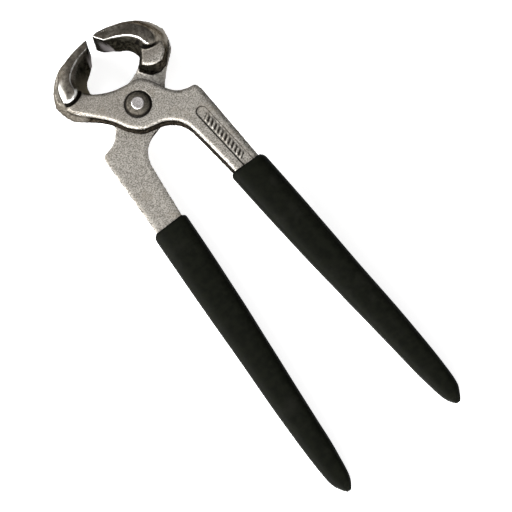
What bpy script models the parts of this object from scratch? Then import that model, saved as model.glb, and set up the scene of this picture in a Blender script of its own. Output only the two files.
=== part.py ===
"""Hoof nipper: two identical drop-forged halves, lapped over each other and turning on one rivet,
with a dipped vinyl sleeve on each rein.

Frame: metres, +Z up along the pivot axis, +Y from the pivot towards the cutting edges.
The origin is on the pivot axis, at the flat end of the rivet's tail.
Outlines are in millimetres, drawn for the half whose jaw is on the -X side, as seen from +Z,
with heights measured from the joint plane where the two halves lap. The nipper stands a little open.
"""

import math

import bmesh
import bpy
from mathutils import Vector
from mathutils.geometry import interpolate_bezier

MM = 0.001

# Heights above the joint plane.
LAP_GAP = 0.15  # half of the gap between the two lapped plates
PLATE_FACE = 6.5  # outer face of the plate, boss and shank
CHEEK_FACE = 11.0  # flat side of the jaw, so the cutting edge is twice this long
PLATE_MIDDLE = (LAP_GAP + PLATE_FACE) / 2

# Forging drafts, as the inset of a wall over the height of the plate.
PLATE_DRAFT = 0.75
NECK_DRAFT = 1.65  # what the neck of the jaw has on top of that
NECK_START, NECK_FULL = 14.0, 28.0  # distances from the pivot over which it grows
CROWN_POWER = 1.25  # how the jaw narrows from its middle to its cheeks

# Rivet.
PIN_RADIUS = 4.0
BORE_RADIUS = 4.1
HEAD_RADIUS = 5.5
HEAD_GAP = 0.1
HEAD_FLAT_RADIUS = 2.3
HEAD_HEIGHT = 2.3
TAIL_FLAT_RADIUS = 3.4
TAIL_HEIGHT = 1.8
RIVET_STEPS = 32

# Sleeve and rein.
SLEEVE_WALL = 1.3
SLEEVE_TO_STEEL = 0.6
SLEEVE_MOUTH, SLEEVE_END = -44.7, -169.4
REAR_SLEEVE_MOUTH, REAR_SLEEVE_END = -44.2, -170.4  # the rear half was dipped a little deeper
SHANK_END = -46.0
TANG_START = -41.0
TANG_END = -165.0
CAVITY_END = -167.2
JOGGLE_START, JOGGLE_END = -50.0, -112.0  # where the rein bends back to the joint plane
OUTER_SQUARENESS = 3.6
CAVITY_SQUARENESS = 10.0
TANG_SQUARENESS = 4.0
RING_POINTS = 28

# Sunken panel on the face of the shank.
PANEL_DEPTH = 0.5
PANEL_HALF_WIDTH = 2.3
PANEL_TOP = (17.7, -17.8)
PANEL_BOTTOM = (19.9, -44.5)

# Height of the joint plane above the origin, which is on the rivet's tail.
JOINT_HEIGHT = PLATE_FACE + HEAD_GAP + TAIL_HEIGHT

# Plate, boss and shank at the joint plane. The two square corners are the shank's end.
PLATE_OUTLINE = [
    (-19.0, 22.3), (-23.2, 20.2), (-25.6, 17.3), (-25.6, 14.2), (-23.8, 10.9), (-20.4, 8.0),
    (-16.7, 4.9), (-13.7, 1.8), (-11.6, -1.6), (-9.3, -5.7), (-5.3, -9.6), (-0.3, -11.2),
    (4.0, -12.6), (7.5, -15.4), (9.5, -18.9), (10.2, -22.2), (12.9, SHANK_END), (25.1, SHANK_END),
    (23.75, -12.0), (23.4, -8.1), (22.2, -6.6), (19.5, -6.0), (16.3, -4.7), (13.8, -2.3),
    (12.2, 0.6), (10.4, 4.4), (8.2, 7.5), (6.0, 9.0), (3.8, 9.5), (0.0, 10.1),
    (-4.5, 11.2), (-8.6, 13.1), (-11.6, 15.6), (-13.4, 18.8), (-15.8, 21.5),
]
PLATE_CORNERS = (16, 17)

# Neck below the joint plane, at that plane and at its far face. Its corners are the two ends of
# the wall beside the other half's boss.
NECK_AT_JOINT = [
    (-19.0, 21.8), (-22.8, 19.8), (-24.9, 17.2), (-24.6, 14.5), (-22.9, 11.6), (-20.4, 9.1),
    (-18.3, 6.9), (-15.6, 6.2), (-12.2, 6.9), (-9.8, 9.2), (-8.2, 11.6), (-9.2, 13.2),
    (-11.5, 15.6), (-13.2, 18.6), (-15.6, 21.0),
]
NECK_AT_FACE = [
    (-17.8, 21.6), (-20.7, 19.6), (-22.3, 17.2), (-22.4, 14.2), (-21.6, 11.5), (-20.1, 9.7),
    (-18.3, 8.5), (-15.8, 8.6), (-13.8, 9.3), (-12.2, 10.3), (-10.7, 11.7), (-11.9, 13.8),
    (-13.3, 15.9), (-14.6, 18.6), (-16.4, 20.8),
]
NECK_CORNERS = (6, 10)

# Jaw: tip, outer side, root, inner side, end of the ground bevel, end of the land at the edge.
JAW_MIDDLE = [
    (-1.4, 31.9), (-5.0, 32.2), (-9.0, 32.1), (-13.0, 31.4), (-17.0, 29.9), (-20.7, 27.4),
    (-23.4, 24.0), (-24.9, 20.4), (-25.8, 16.8), (-24.6, 14.2), (-20.5, 13.9), (-15.8, 14.3),
    (-12.4, 15.6), (-11.6, 17.8), (-10.7, 19.9), (-9.0, 21.5), (-6.9, 22.9), (-4.7, 25.0),
    (-1.7, 30.9),
]
JAW_NEAR_CHEEK = [
    (-0.95, 31.8), (-5.0, 31.7), (-9.0, 31.1), (-13.0, 30.0), (-16.3, 28.4), (-19.0, 26.2),
    (-21.3, 23.5), (-22.4, 20.6), (-22.5, 18.3), (-21.6, 16.8), (-19.7, 16.2), (-17.7, 16.8),
    (-16.3, 18.3), (-16.0, 20.6), (-15.2, 23.1), (-13.0, 25.3), (-8.5, 27.6), (-2.6, 28.9),
    (-1.25, 30.9),
]
JAW_FAR_CHEEK = [
    (-1.85, 31.7), (-5.0, 31.5), (-9.0, 30.6), (-13.0, 29.1), (-16.3, 27.0), (-19.0, 24.6),
    (-20.8, 21.8), (-21.5, 19.0), (-21.3, 16.8), (-20.3, 15.2), (-18.7, 14.7), (-17.1, 15.5),
    (-16.3, 17.0), (-15.9, 19.0), (-14.8, 21.0), (-12.7, 23.2), (-8.5, 25.7), (-4.2, 27.4),
    (-2.1, 30.8),
]
JAW_CORNERS = (0, 17, 18)

# Sleeve: distance along the rein, inner and outer side, half thickness.
SLEEVE_STATIONS = [
    (-44.7, 11.5, 26.55, 4.75), (-45.4, 11.2, 26.85, 5.0), (-65.0, 12.6, 28.0, 5.1),
    (-85.0, 14.35, 29.05, 5.1), (-105.0, 16.35, 30.0, 5.0), (-125.0, 18.4, 31.05, 4.9),
    (-140.0, 19.95, 31.6, 4.7), (-150.0, 20.85, 31.75, 4.55), (-158.0, 21.95, 31.65, 4.35),
    (-162.0, 22.6, 31.4, 4.1), (-164.5, 23.2, 30.85, 3.7), (-166.5, 24.0, 29.85, 3.1),
    (-168.2, 25.05, 28.9, 2.2), (-169.4, 26.0, 28.0, 1.2),
]


def smoothstep(start, end, value):
    share = min(max((value - start) / (end - start), 0.0), 1.0)
    return share * share * (3 - 2 * share)


def sampled(points, corners, steps):
    """A closed outline through the points as smooth Bezier stretches, sharp at the corners."""
    knots = [Vector(p) for p in points]
    count = len(knots)

    def handle(index, towards):
        here, there = knots[index], knots[(index + towards) % count]
        reach = (there - here).length / 3
        if index in corners:
            return here + (there - here) / 3
        along = (knots[(index + 1) % count] - knots[index - 1]).normalized()
        return here + along * reach * towards

    outline = []
    for i in range(count):
        after = (i + 1) % count
        stretch = interpolate_bezier(knots[i], handle(i, 1), handle(after, -1), knots[after], steps + 1)
        outline += [Vector(p[:2]) for p in stretch[:-1]]
    return outline


def inset(outline, distances):
    """The outline moved inwards by its own distance at each point."""
    moved = []
    for i, here in enumerate(outline):
        before = (here - outline[i - 1]).normalized()
        after = (outline[(i + 1) % len(outline)] - here).normalized()
        inwards = Vector((-before.y - after.y, before.x + after.x))
        moved.append(here + inwards * distances[i] / (1 + before.dot(after)))
    return moved


def at_height(outline, height):
    return [Vector((p.x, p.y, height)) for p in outline]


def object_from(name, mesh_maker, collection):
    mesh = bpy.data.meshes.new(name)
    geometry = bmesh.new()
    mesh_maker(geometry)
    bmesh.ops.recalc_face_normals(geometry, faces=geometry.faces)
    geometry.to_mesh(mesh)
    geometry.free()
    made = bpy.data.objects.new(name, mesh)
    collection.objects.link(made)
    return made


def loft(name, rings, collection):
    """A closed solid through rings of equal length, in millimetres, with both ends filled."""

    def make(geometry):
        rows = [[geometry.verts.new(p * MM) for p in ring] for ring in rings]
        for lower, upper in zip(rows, rows[1:]):
            for i in range(len(lower)):
                after = (i + 1) % len(lower)
                geometry.faces.new((lower[i], lower[after], upper[after], upper[i]))
        geometry.faces.new(rows[0])
        geometry.faces.new(rows[-1])

    return object_from(name, make, collection)


def plate_draft(point):
    """Inset of the plate's wall at its outer face: more on the neck, where the jaw begins."""
    neck = smoothstep(NECK_START, NECK_FULL, point.length) if point.y > 0 else 0
    return PLATE_DRAFT + NECK_DRAFT * neck


def plate(collection):
    """The lapped plate with its boss and shank."""
    outline = sampled(PLATE_OUTLINE, PLATE_CORNERS, 3)
    levels = [(LAP_GAP, 0, 0), (5.7, 0.86, 0), (6.3, 1, 0.15), (PLATE_FACE, 1, 0.7)]
    rings = [
        at_height(inset(outline, [share * plate_draft(p) + rounding for p in outline]), height)
        for height, share, rounding in levels
    ]
    return loft("plate", rings, collection)


def neck(collection):
    """The root of the jaw beyond the joint plane, cut away beside the boss of the other half."""
    rings = []
    for height, share, rounding in ((1.2, 0.1, 0), (LAP_GAP, 0, 0), (-5.9, 0.92, 0), (-PLATE_FACE, 1, 0.5)):
        points = [Vector(a).lerp(Vector(b), share) for a, b in zip(NECK_AT_JOINT, NECK_AT_FACE)]
        outline = sampled(points, NECK_CORNERS, 3)
        rings.append(at_height(inset(outline, [rounding] * len(outline)), height))
    return loft("neck", rings, collection)


def jaw_ring(height, rounding):
    share = (abs(height) / CHEEK_FACE) ** CROWN_POWER
    cheek = JAW_NEAR_CHEEK if height > 0 else JAW_FAR_CHEEK
    points = [Vector(m).lerp(Vector(c), share) for m, c in zip(JAW_MIDDLE, cheek)]
    outline = sampled(points, JAW_CORNERS, 3)
    away_from_tip = [smoothstep(-2.0, -9.0, p.x) for p in outline]
    return at_height(inset(outline, [rounding * a for a in away_from_tip]), height)


def jaw(collection):
    """The claw: widest in its middle, narrowing to the two cheeks, with a straight cutting edge."""
    half = [(0.0, 0), (4.0, 0), (8.0, 0), (10.5, 0.05), (CHEEK_FACE, 0.45)]
    levels = [(-height, rounding) for height, rounding in reversed(half)] + half[1:]
    return loft("jaw", [jaw_ring(*level) for level in levels], collection)


def rein_size(along):
    """Inner side, outer side and half thickness of the sleeve at a distance along the rein."""
    for before, after in zip(SLEEVE_STATIONS, SLEEVE_STATIONS[1:]):
        if along >= after[0]:
            share = min(max((along - before[0]) / (after[0] - before[0]), 0.0), 1.0)
            return [a + (b - a) * share for a, b in zip(before[1:], after[1:])]
    return list(SLEEVE_STATIONS[-1][1:])


def rein_ring(along, depth, squareness):
    """A rounded-rectangle ring across the rein, a depth inside the sleeve's outer skin."""
    inner, outer, half_thickness = rein_size(along)
    middle, half_width = (inner + outer) / 2, (outer - inner) / 2 - depth
    height = PLATE_MIDDLE * (1 - smoothstep(JOGGLE_START, JOGGLE_END, along))
    ring = []
    for i in range(RING_POINTS):
        angle = math.tau * (i + 0.5) / RING_POINTS
        across = math.copysign(abs(math.cos(angle)) ** (2 / squareness), math.cos(angle))
        up = math.copysign(abs(math.sin(angle)) ** (2 / squareness), math.sin(angle))
        ring.append(Vector((middle + across * half_width, along, height + up * (half_thickness - depth))))
    return ring


def stations_between(start, end):
    """The sleeve's stations strictly between two distances, with the two ends themselves."""
    return [start] + [s[0] for s in SLEEVE_STATIONS if end < s[0] < start] + [end]


def tang(collection):
    """The rein inside the sleeve."""
    depth = SLEEVE_WALL + SLEEVE_TO_STEEL
    along = stations_between(TANG_START, TANG_END)
    rings = [rein_ring(y, depth, TANG_SQUARENESS) for y in along]
    return loft("tang", rings, collection)


def sleeve(name, material, collection):
    """A cup of vinyl, open at its mouth, with its cavity clear of the rein."""
    outside = [rein_ring(s[0], 0, OUTER_SQUARENESS) for s in reversed(SLEEVE_STATIONS)]
    cavity = [
        rein_ring(y, SLEEVE_WALL, CAVITY_SQUARENESS)
        for y in stations_between(SLEEVE_MOUTH, CAVITY_END)[2:]
    ]
    mouth = [Vector((p.x, SLEEVE_MOUTH, p.z)) for p in rein_ring(-45.4, SLEEVE_WALL, CAVITY_SQUARENESS)]
    made = loft(name, outside + [mouth] + cavity, collection)
    made.data.materials.append(material)
    made.data.shade_smooth()
    return made


def deeper_sleeve(front_sleeve, name, collection):
    """The front half's sleeve drawn out to the length of the rear half's."""
    mesh = front_sleeve.data.copy()
    stretch = (REAR_SLEEVE_END - REAR_SLEEVE_MOUTH) / (SLEEVE_END - SLEEVE_MOUTH)
    for vertex in mesh.vertices:
        vertex.co.y = REAR_SLEEVE_MOUTH * MM + (vertex.co.y - SLEEVE_MOUTH * MM) * stretch
    made = bpy.data.objects.new(name, mesh)
    collection.objects.link(made)
    return made


def panel_cutter(collection):
    """A slot with round ends, sunk into the face of the shank."""
    top, bottom = Vector(PANEL_TOP), Vector(PANEL_BOTTOM)
    side = (bottom - top).normalized().orthogonal() * PANEL_HALF_WIDTH
    outline = []
    for centre, start in ((top, side), (bottom, -side)):
        for i in range(9):
            turn = math.pi * i / 8
            outline.append(centre + Vector((
                start.x * math.cos(turn) - start.y * math.sin(turn),
                start.x * math.sin(turn) + start.y * math.cos(turn),
            )))
    rings = [at_height(outline, h) for h in (PLATE_FACE - PANEL_DEPTH, PLATE_FACE + 1)]
    return loft("panel_cutter", rings, collection)


def bore_cutter(collection):
    def make(geometry):
        bmesh.ops.create_cone(
            geometry, cap_ends=True, segments=RIVET_STEPS,
            radius1=BORE_RADIUS * MM, radius2=BORE_RADIUS * MM, depth=4 * PLATE_FACE * MM,
        )

    return object_from("bore_cutter", make, collection)


def combine(target, other, operation):
    modifier = target.modifiers.new(other.name, "BOOLEAN")
    modifier.operation = operation
    modifier.solver = "EXACT"
    modifier.object = other
    other.hide_render = True
    other.display_type = "WIRE"


def half(name, material, parts, helpers):
    """One forging: plate, neck, jaw and tang joined, bored for the rivet, with the sunken panel."""
    made = plate(parts)
    made.name = made.data.name = name
    for other in (neck(helpers), jaw(helpers), tang(helpers)):
        combine(made, other, "UNION")
    for cutter in (bore_cutter(helpers), panel_cutter(helpers)):
        combine(made, cutter, "DIFFERENCE")
    made.data.materials.append(material)
    return made


def as_mesh(source, name, collection):
    """A new object holding what the source's modifiers make."""
    bpy.context.view_layer.update()
    graph = bpy.context.evaluated_depsgraph_get()
    mesh = bpy.data.meshes.new_from_object(source.evaluated_get(graph))
    mesh.set_sharp_from_angle(angle=math.radians(30))
    made = bpy.data.objects.new(name, mesh)
    collection.objects.link(made)
    return made


def head_profile(flat_radius, height):
    """Radius and height above the plate's face, from the flat on top down to the edge of the head."""
    steps = 4
    profile = [(0.0, height), (flat_radius, height)]
    for i in range(1, steps + 1):
        turn = math.pi / 2 * i / steps
        radius = flat_radius + (HEAD_RADIUS - flat_radius) * math.sin(turn)
        profile.append((radius, 0.5 + (height - 0.5) * math.cos(turn)))
    return profile + [(HEAD_RADIUS, 0.0), (PIN_RADIUS, 0.0)]


def rivet(material, collection):
    """The pivot: a pin through both plates, with a formed head and a flatter, peened tail."""
    seat = PLATE_FACE + HEAD_GAP
    head = [(r, seat + h) for r, h in head_profile(HEAD_FLAT_RADIUS, HEAD_HEIGHT)]
    tail = [(r, -seat - h) for r, h in head_profile(TAIL_FLAT_RADIUS, TAIL_HEIGHT)]
    profile = [Vector((r, 0, h)) * MM for r, h in head + tail[::-1]]

    def make(geometry):
        verts = [geometry.verts.new(p) for p in profile]
        for a, b in zip(verts, verts[1:]):
            geometry.edges.new((a, b))

    made = object_from("pivot_rivet", make, collection)
    turned = made.modifiers.new("turned", "SCREW")
    turned.steps = turned.render_steps = RIVET_STEPS
    turned.use_merge_vertices = True
    turned.merge_threshold = 0.00001
    made.data.materials.append(material)
    return made


def material(name, colour, roughness, metallic):
    made = bpy.data.materials.new(name)
    made.use_nodes = True
    shader = made.node_tree.nodes["Principled BSDF"]
    shader.inputs["Base Color"].default_value = (*colour, 1)
    shader.inputs["Roughness"].default_value = roughness
    shader.inputs["Metallic"].default_value = metallic
    return made


def collection_named(name):
    made = bpy.data.collections.new(name)
    bpy.context.scene.collection.children.link(made)
    return made


def empty_named(name, location, collection):
    made = bpy.data.objects.new(name, None)
    made.location = location
    collection.objects.link(made)
    return made


def main():
    for old in list(bpy.data.objects):
        bpy.data.objects.remove(old)
    parts = collection_named("hoof_nipper")
    helpers = collection_named("helpers")
    steel = material("forged_steel", (0.42, 0.39, 0.36), 0.45, 1.0)
    rivet_steel = material("rivet_steel", (0.20, 0.18, 0.16), 0.35, 1.0)
    vinyl = material("black_vinyl", (0.012, 0.013, 0.011), 0.6, 0.0)

    joint = Vector((0, 0, JOINT_HEIGHT * MM))
    front_pivot = empty_named("front_half_pivot", joint, parts)
    rear_pivot = empty_named("rear_half_pivot", joint, parts)
    rear_pivot.rotation_euler = (0, math.pi, 0)

    forging = half("forging", steel, helpers, helpers)
    front_half = as_mesh(forging, "front_half", parts)
    forging.hide_render = True
    rear_half = bpy.data.objects.new("rear_half", front_half.data)
    parts.objects.link(rear_half)
    front_sleeve = sleeve("front_sleeve", vinyl, parts)
    rear_sleeve = deeper_sleeve(front_sleeve, "rear_sleeve", parts)
    pivot_rivet = rivet(rivet_steel, parts)
    pivot_rivet.location = joint

    for made in (front_half, front_sleeve):
        made.parent = front_pivot
    for made in (rear_half, rear_sleeve):
        made.parent = rear_pivot


main()
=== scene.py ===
"""Hoof nipper: the looks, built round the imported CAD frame.

Lengths are in millimetres, but in metres for the lights and the floor, and heights are from the joint plane
where the two halves lap. The forging is drawn as the front half, whose jaw is on -X, and the rear half is
the same forging turned over. So the camera sees z above 0 of the front half, and z below 0 of the rear one.
Near and far in the comments mean these two parts of the one forging.
"""
import math

import bmesh
import bpy
import numpy as np
from mathutils import Matrix, Vector, noise
from mathutils.kdtree import KDTree


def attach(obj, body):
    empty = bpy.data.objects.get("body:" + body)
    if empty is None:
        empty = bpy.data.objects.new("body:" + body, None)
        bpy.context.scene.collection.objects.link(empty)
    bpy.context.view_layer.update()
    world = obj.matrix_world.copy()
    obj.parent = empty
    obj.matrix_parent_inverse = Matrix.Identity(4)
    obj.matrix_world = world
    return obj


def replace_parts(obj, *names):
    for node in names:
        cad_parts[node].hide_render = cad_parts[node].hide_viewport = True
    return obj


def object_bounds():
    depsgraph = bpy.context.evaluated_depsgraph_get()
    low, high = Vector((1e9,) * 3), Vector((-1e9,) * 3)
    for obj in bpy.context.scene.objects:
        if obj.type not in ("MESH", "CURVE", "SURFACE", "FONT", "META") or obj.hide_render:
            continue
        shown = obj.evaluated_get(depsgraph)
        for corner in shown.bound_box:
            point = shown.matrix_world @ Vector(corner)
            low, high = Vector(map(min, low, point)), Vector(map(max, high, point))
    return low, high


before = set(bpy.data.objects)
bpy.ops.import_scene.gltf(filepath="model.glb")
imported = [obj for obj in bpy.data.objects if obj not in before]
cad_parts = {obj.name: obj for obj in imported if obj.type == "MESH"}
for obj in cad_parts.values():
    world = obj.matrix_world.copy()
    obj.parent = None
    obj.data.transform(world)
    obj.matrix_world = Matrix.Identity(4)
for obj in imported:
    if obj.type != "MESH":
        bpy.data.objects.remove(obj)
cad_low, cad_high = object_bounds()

MM = 0.001
JOINT_HEIGHT = 8.4
PLATE_FACE = 6.5
CHEEK_FACE = 11.0
TURNED_OVER = Matrix.Rotation(math.pi, 4, "Y")
AT_JOINT = Matrix.Translation((0, 0, JOINT_HEIGHT * MM))

# Camera: a long lens above the tool, leaning towards the reins and a little to the left.
LEAN_BACK, LEAN_SIDE, TURN = math.radians(12.0), math.radians(3.0), math.radians(37.96)
AIM = Vector((0, -76.4, PLATE_FACE + JOINT_HEIGHT))
AIM_RIGHT, AIM_UP = -0.171, -0.161
CAMERA_DISTANCE = 2500
VIEW_WIDTH = 197.5

# Area lights: the way to each from the tool, its size and its power in watts.
LIGHTS_AIM = Vector((0, -0.06, 0.01))
LIGHT_DISTANCE = 1.2
KEY_TOWARDS, KEY_SIZE, KEY_POWER = (-0.945, -0.33, 0.72), (1.9, 0.6), 50
SIDE_TOWARDS, SIDE_SIZE, SIDE_POWER = (-0.88, 0.5, 0.72), (0.9, 0.5), 12

# World: how bright it is overhead, and low down on the key's side and on the other.
ZENITH, HORIZON_BRIGHT, HORIZON_DARK = 0.46, 1.4, 0.2
OVERHEAD_FADE, KEY_SIDE_FADE = (0.55, 0.95), (-0.35, 0.55)

# Floor. The tool lies on the rims of its jaws and on the ends of its reins, so the floor tilts to meet them.
FLOOR_TILT = math.radians(-2.2)
FLOOR_SIZE, FLOOR_ALONG, FLOOR_GAP = 3, 0.016, 0.0002
FLOOR_TONE, FLOOR_GLOW = 0.68, 0.78

# Noise: how far apart the patterns of two seeds lie.
SHAPE_SHIFT = (17.3, 9.1, 5.7)
PATTERN_SHIFT = (0.31, 0.17, 0.23)

# Forging: its remeshing, its rounded rims, and the middle of the mouth that its walls face or face away from.
VOXEL = 0.25
SMOOTHING = 3
RIM_SMOOTHING = 5
CHEEK_SMOOTHING = 2
RIM_WIDTH, RIM_DROP, LAP_RIM_DROP = 2.0, 0.41, 0.16
CUTTING_EDGE = (-1.5, 31.5)
MOUTH_MIDDLE = (-2.0, 20.0)

# Cheeks: width and depth of the bevel on the inner edge, and of the crown and the rounding on the outer one.
# The crown fades out over a length beside the cutting edge.
INNER_BEVEL, INNER_BEVEL_DROP = 0.55, 0.3
OUTER_CROWN, OUTER_CROWN_DROP = 4.4, 0.88
OUTER_EDGE, OUTER_EDGE_DROP = 0.5, 0.05
CROWN_START, CROWN_LENGTH = -2, 14

# Skin: size, depth and seed of each noise on it.
SKIN_WAVES = ((7, 0.09, 1), (2.6, 0.035, 2))
FLASH_SIZE, FLASH_DEPTH, FLASH_SEED = 1.1, 0.16, 3
SKIN_SUNK = 0.06

# How far the near jaw's body stands out below its cheek, by distance along the tool.
BODY_ALONG = [7.0, 10.0, 12.5, 15.0, 17.0, 19.5, 22.0, 26.0, 29.0, 31.0]
BODY_SWELL = [0.0, -0.1, -0.35, -0.4, 0.1, 1.1, 0.9, 0.65, 0.6, 0.3]
# The ledge round the near cheek's heel: its depth, and the height and width of the painted shadow line at its
# foot.
LEDGE_DEPTH, LEDGE_HEIGHT, LEDGE_LINE = 0.5, 8.2, 0.6
# How far the far jaw stands out beside its cutting edge.
FAR_TIP_SWELL = 0.4

# Sunken panel on the shank, with a row of plain slanted ribs.
PANEL_TOP, PANEL_BOTTOM = (17.7, -17.8), (19.9, -44.5)
PANEL_HALF_WIDTH, PANEL_DEPTH = 2.3, 0.4
RIB_START, RIB_PITCH, RIB_COUNT, RIB_SLANT = 3.0, 2.0, 11, 0.5
RIB_THICKNESS, RIB_LENGTH, RIB_HEIGHT = 0.85, 2.6, 0.25

# Crevice round the rivet's head: its radius, depth and width, and the width of the painted shade in it.
CREVICE_RADIUS, CREVICE_DEPTH, CREVICE_WIDTH, CREVICE_SHADE = 5.22, 0.4, 0.22, 0.3

# Rivet: radius and height above the plate's face, from the middle of the head or the tail outwards.
RIVET_HEAD = [
    (0.0, 1.95), (1.0, 1.96), (1.8, 2.0), (2.1, 2.04), (2.3, 1.99), (2.45, 1.87), (2.65, 1.76),
    (3.2, 1.64), (3.8, 1.42), (4.3, 1.10), (4.7, 0.75), (5.0, 0.35), (5.12, 0.0), (5.12, -0.3),
]
RIVET_TAIL = [
    (0.0, 1.5), (1.6, 1.5), (3.0, 1.42), (3.7, 1.30), (4.4, 1.0), (4.9, 0.6), (5.2, 0.2), (5.25, 0.0),
]
PIN_RADIUS = 4.0
RIVET_AROUND = 72
# Its dents, and the edges of the bright disc on the head and of the painted shade round its foot.
DENT_SIZE, HEAD_DENTS, TAIL_DENTS = 1.7, 0.05, 0.09
DISC_EDGE, FOOT_EDGE, FOOT_TOP = (2.4, 2.6), (4.3, 4.9), 1.15

# Sleeve: distance along the rein, inner and outer side, half thickness.
SLEEVE_STATIONS = [
    (-44.7, 11.2, 26.85, 5.0), (-65.0, 12.6, 28.0, 5.1), (-85.0, 14.35, 29.05, 5.1),
    (-105.0, 16.35, 30.0, 5.0), (-125.0, 18.4, 31.05, 4.9), (-140.0, 19.95, 31.6, 4.7),
    (-150.0, 20.85, 31.75, 4.55), (-158.0, 21.95, 31.65, 4.35), (-162.0, 22.6, 31.4, 4.1),
    (-164.5, 23.2, 30.85, 3.7), (-166.5, 24.0, 29.85, 3.1), (-168.2, 25.05, 28.9, 2.2),
    (-169.4, 26.0, 28.0, 1.2),
]
DRAWN_MOUTH, DRAWN_END = SLEEVE_STATIONS[0][0], SLEEVE_STATIONS[-1][0]
FRONT_SLEEVE_MOUTH, FRONT_SLEEVE_END = -44.7, -168.9
REAR_SLEEVE_MOUTH, REAR_SLEEVE_END = -44.2, -170.4
# The mouth of the front sleeve is a little askew, lower on its outer side.
MOUTH_SKEW = 0.7
SLEEVE_WALL = 1.3
CAVITY_ALONG = (-44.7, -46, -60, -80, -100, -120, -140, -155, -162)
SKIN_SQUARENESS, CAVITY_SQUARENESS = 3.4, 9
# The mouth's rounding: how far it reaches in, its length on either side, and where it is drawn, from 0 to 1.
MOUTH_ACROSS, MOUTH_OUTER, MOUTH_INNER = 1.1, 2.2, 1.5
MOUTH_SHARES = (0.0, 0.25, 0.45, 0.6, 0.72, 0.82, 0.9, 0.96, 1.0)
SLEEVE_AROUND = 56
# Waves left by the dip, longer along the sleeve than across it.
DIP_SIZE, DIP_STRETCH, DIP_DEPTH, DIP_SUNK = 6, 0.35, 0.08, 0.1
# The rein bends from its own plate's height at the mouth to the joint plane.
JOGGLE_START, JOGGLE_END = -50.0, -112.0
REIN_HEIGHT = 3.325

# Colours of the forgings. A pair is mixed by noise, dark first.
BLAST_HOLLOWS = (0.14, 0.13, 0.113), (0.2, 0.186, 0.164)
BLAST_CRESTS = (0.43, 0.403, 0.365), (0.53, 0.5, 0.455)
BLAST_PITS = (0.13, 0.115, 0.092)
BLAST_STAINS = (0.27, 0.235, 0.19)
# Blast tone, darker towards the jaws.
BLAST_TOWARDS_JAWS = (0.19, 0.168, 0.14)
# Painted light on the rear plate's lap face, lifting it out of the front plate's shadow.
LAP_PAINTED_LIGHT = (0.32, 0.3, 0.27), (0.72, 0.69, 0.63)
# Scale on the walls, darkened further by painted shade.
WALL_SCALE_AND_SHADE = (0.02, 0.017, 0.013), (0.07, 0.06, 0.047)
SCALE_LOW = (0.008, 0.007, 0.006)
# A painted shadow line on the walls under the plate's rims.
UNDER_RIM_SHADOW = (0.004, 0.0035, 0.003)
BAND = (0.09, 0.081, 0.067), (0.19, 0.173, 0.147)
BAND_LOW = (0.012, 0.01, 0.008)
# The same painted shadow line on the jaw's outer side.
BAND_UNDER_RIM_SHADOW = (0.014, 0.012, 0.01)
# A painted shadow line at the foot of the near cheek's ledge.
LEDGE_SHADOW_LINE = (0.02, 0.018, 0.014)
# Black scale and painted shade in the mouth and under the jaw.
MOUTH_SCALE_AND_SHADE = (0.012, 0.011, 0.008), (0.048, 0.044, 0.034)
BOSS_SIDE = (0.015, 0.013, 0.01), (0.085, 0.075, 0.058)
CHEEK = (0.1, 0.088, 0.072), (0.18, 0.163, 0.138)
CHEEK_RUST = (0.16, 0.11, 0.075)
CHEEK_SHADE = (0.055, 0.048, 0.039)
# A ground facet, made lighter by a painted reflection that fades out towards the cheek.
GROUND_BEVEL_REFLECTION = (0.27, 0.255, 0.255)
# Painted shade in corners and in the crevice round the rivet's head.
CORNER_SHADE = (0.02, 0.018, 0.015)
# Dirt and painted shade along the panel's sunken edge and between its ribs.
PANEL_DIRT_AND_SHADE = (0.018, 0.015, 0.012)
# Black scale and painted shade in the crevice under each cheek's end.
ROOT_SCALE_AND_SHADE = (0.008, 0.007, 0.006)
LIP_STEEL = (0.78, 0.76, 0.73)
FRINGE_STEEL = (0.36, 0.335, 0.3)
# Painted highlights on the cheeks' inner rims.
RIM_HIGHLIGHT_STEEL = (0.9, 0.88, 0.85)
# Bright steel of worn edges, with painted highlights on them and on the near cheek's heel.
WORN_AND_HIGHLIGHT_STEEL = (0.95, 0.94, 0.92)
# Scaled steel doesn't turn mirror-like at a grazing angle.
STEEL_GRAZING, RIVET_GRAZING = (0.2, 0.19, 0.18, 1), (0.4, 0.38, 0.36, 1)

# What differs between the forgings: the size of the grain, the tone at the bottom of the mouth, the least
# and most bright that the painted highlights on the cheeks' inner rims are, and how bright the far edge of
# the mouth is.
FRONT_FINISH = {
    "seed": 1, "grain_size": 0.55, "throat": (0.17, 0.157, 0.125), "rims": (0.1, 0.6), "lip_share": 1.0}
REAR_FINISH = {
    "seed": 2, "grain_size": 0.6, "throat": (0.02, 0.018, 0.014), "rims": (0.75, 0.95), "lip_share": 0.0}
GRAIN_DEPTH = 0.09

# Colours of the rivet and the vinyl.
RIVET_DOME = (0.055, 0.049, 0.04), (0.125, 0.112, 0.094)
RIVET_DISC = (0.46, 0.43, 0.42), (0.74, 0.7, 0.69)
# Painted shade round the foot of the head.
RIVET_FOOT_SHADE = (0.014, 0.012, 0.01)
RIVET_WORN = (0.6, 0.57, 0.54)
VINYL = (0.0012, 0.0015, 0.0006), (0.0026, 0.003, 0.0015)
VINYL_DUST = (0.0065, 0.0065, 0.005)
VINYL_SCUFFS = (0.012, 0.0115, 0.009)
# Painted shade in the gap at the sleeve's mouth.
VINYL_GAP_SHADE = (0.0003, 0.0003, 0.0003)
VINYL_SPECULAR = 0.05


# ---------------------------------------------------------------- camera and light

def camera_axes():
    right = Vector((math.cos(LEAN_SIDE), 0, math.sin(LEAN_SIDE)))
    back = Vector((0, -math.sin(LEAN_BACK), math.cos(LEAN_BACK)))
    back = (back - right * back.dot(right)).normalized()
    up = back.cross(right)
    cos, sin = math.cos(TURN), math.sin(TURN)
    return right * cos - up * sin, right * sin + up * cos, back


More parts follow.
